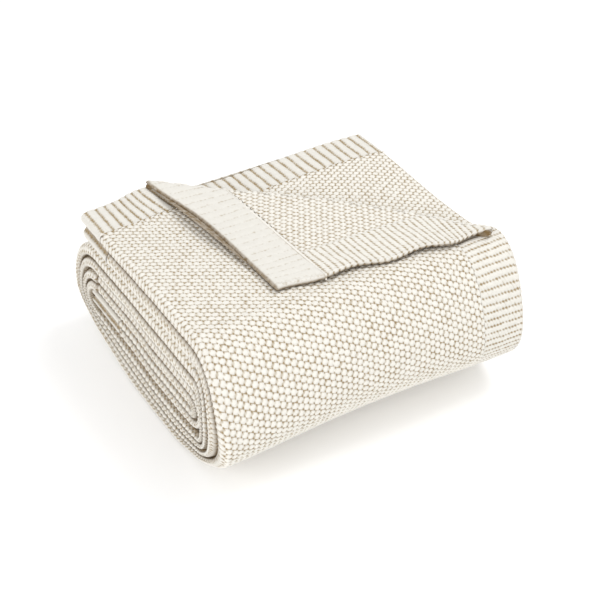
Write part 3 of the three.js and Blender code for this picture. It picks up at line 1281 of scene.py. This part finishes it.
moss, rib, garter, corner = "moss_knit", "rib_knit", "garter_knit", "turned_corner"
outerFolds = ["outer_turn_ply_2", "outer_turn_ply_3"]
hiddenOuter = ["outer_turn_ply_4", "outer_turn_side_band_4"]
secondRibs = ["top_ply_2_rib_border", "top_ply_3_rib_border"]
coreTurn = ["core_turn_outer_plies", "core_turn_inner_plies"]
declare(topKnit, ["top_ply_1"])
declare(topRib, ["top_ply_1_rib_border"])
declare(topBand, None)
declare(secondKnit, ["top_ply_2", "top_ply_3"])
declare(secondRib, secondRibs, "top_layer")
declare(fourthKnit, ["top_ply_4"])
declare(fourthRib, ["top_ply_4_rib_border"], "top_layer")
declare(fourthBand, ["top_ply_4_side_band"])
declare(flapKnit, ["corner_flap"], corner)
declare(flapRib, ["corner_flap_rib_border"], corner)
declare(flapBand, ["corner_flap_side_band"], corner)
declare(crease, ["crease_roll"], corner)
declare(frontKnit, ["outer_turn_ply_1"])
declare(frontBand, ["outer_turn_side_band_1"])
declare(frontFolds, outerFolds)
declare(backKnit, None, "roll")
declare(backBand, None, "roll")
declare(backFolds, hiddenOuter, "roll")
declare(secondFace, ["second_turn_outer_plies"], "roll")
declare(secondBand, None, "roll")
declare(secondFolds, ["second_turn_inner_plies"], "roll")
declare(coreFolds, coreTurn, "roll")
declare(coreRibPiece, ["core_rib_border"], "roll")
for seam, nodes, body in (
    (topSeam, ["top_ply_1_link_seam"], "top_layer"),
    (secondSeam, ["top_ply_2_link_seam", "top_ply_3_link_seam"], "top_layer"),
    (fourthSeam, ["top_ply_4_link_seam"], "top_layer"),
    (flapSeam, ["corner_flap_link_seam"], "turned_corner"),
    (coreSeamPiece, ["core_link_seam"], "roll"),
):
    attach(seam, body)
    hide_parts(*nodes)
print(f"{len(pieces)} fabric pieces, {sum(pieceCount)} triangles")

# Floor, light and camera. Each lamp has watts, the side of its square in metres, and where it hangs.
studio = {
    "floor": (0.95, 0.95, 0.95, 1),
    "floorRoughness": 0.9,
    "floorGlow": 0.14,
    "halfFloor": 4,
    "world": 0.74,
    "aim": (0, 0, 0.08),
}
lamps = {
    "key": (15, 1.0, (1.0, -0.2, 1.9)),
    "side": (13, 1.2, (-1.8, -0.5, 1.0)),
    "fill": (6, 1.6, (0.2, -2.0, 1.3)),
}
white = (1, 1, 1, 1)


def makeFloor():
    mesh = bpy.data.meshes.new("floor")
    half = studio["halfFloor"]
    corners = [(-half, -half, 0), (half, -half, 0), (half, half, 0), (-half, half, 0)]
    mesh.from_pydata(corners, [], [(0, 1, 2, 3)])
    floor = bpy.data.objects.new("floor", mesh)
    bpy.context.scene.collection.objects.link(floor)
    material = bpy.data.materials.new("pale floor")
    material.use_nodes = True
    shader = material.node_tree.nodes["Principled BSDF"]
    shader.inputs["Base Color"].default_value = studio["floor"]
    shader.inputs["Roughness"].default_value = studio["floorRoughness"]
    shader.inputs["Emission Color"].default_value = white
    shader.inputs["Emission Strength"].default_value = studio["floorGlow"]
    mesh.materials.append(material)


def makeLamp(name, power, size, at):
    lamp = bpy.data.lights.new(name, "AREA")
    lamp.energy = power
    lamp.size = size
    holder = bpy.data.objects.new(name, lamp)
    holder.location = at
    towards = Vector(studio["aim"]) - Vector(at)
    holder.rotation_euler = towards.to_track_quat("-Z", "Y").to_euler()
    bpy.context.scene.collection.objects.link(holder)


makeFloor()
world = bpy.data.worlds.new("studio")
world.use_nodes = True
background = world.node_tree.nodes["Background"]
background.inputs["Color"].default_value = white
background.inputs["Strength"].default_value = studio["world"]
bpy.context.scene.world = world
for name, (power, size, at) in lamps.items():
    makeLamp(name, power, size, at)
bpy.context.scene.view_settings.view_transform = "Standard"

viewpoint = {
    "azimuth": -31,
    "elevation": 35,
    "distance": 1.2377,
    "aim": (0, -0.0173, 0.075),
    "lens": 77.5,
    "sensor": 36,
}
camera = bpy.data.objects.new("camera", bpy.data.cameras.new("camera"))
bpy.context.scene.collection.objects.link(camera)
turn, rise = math.radians(viewpoint["azimuth"]), math.radians(viewpoint["elevation"])
toCamera = Vector((math.sin(turn) * math.cos(rise), -math.cos(turn) * math.cos(rise), math.sin(rise)))
camera.location = Vector(viewpoint["aim"]) + toCamera * viewpoint["distance"]
camera.rotation_euler = toCamera.to_track_quat("Z", "Y").to_euler()
camera.data.lens = viewpoint["lens"]
camera.data.sensor_width = viewpoint["sensor"]
bpy.context.scene.camera = camera
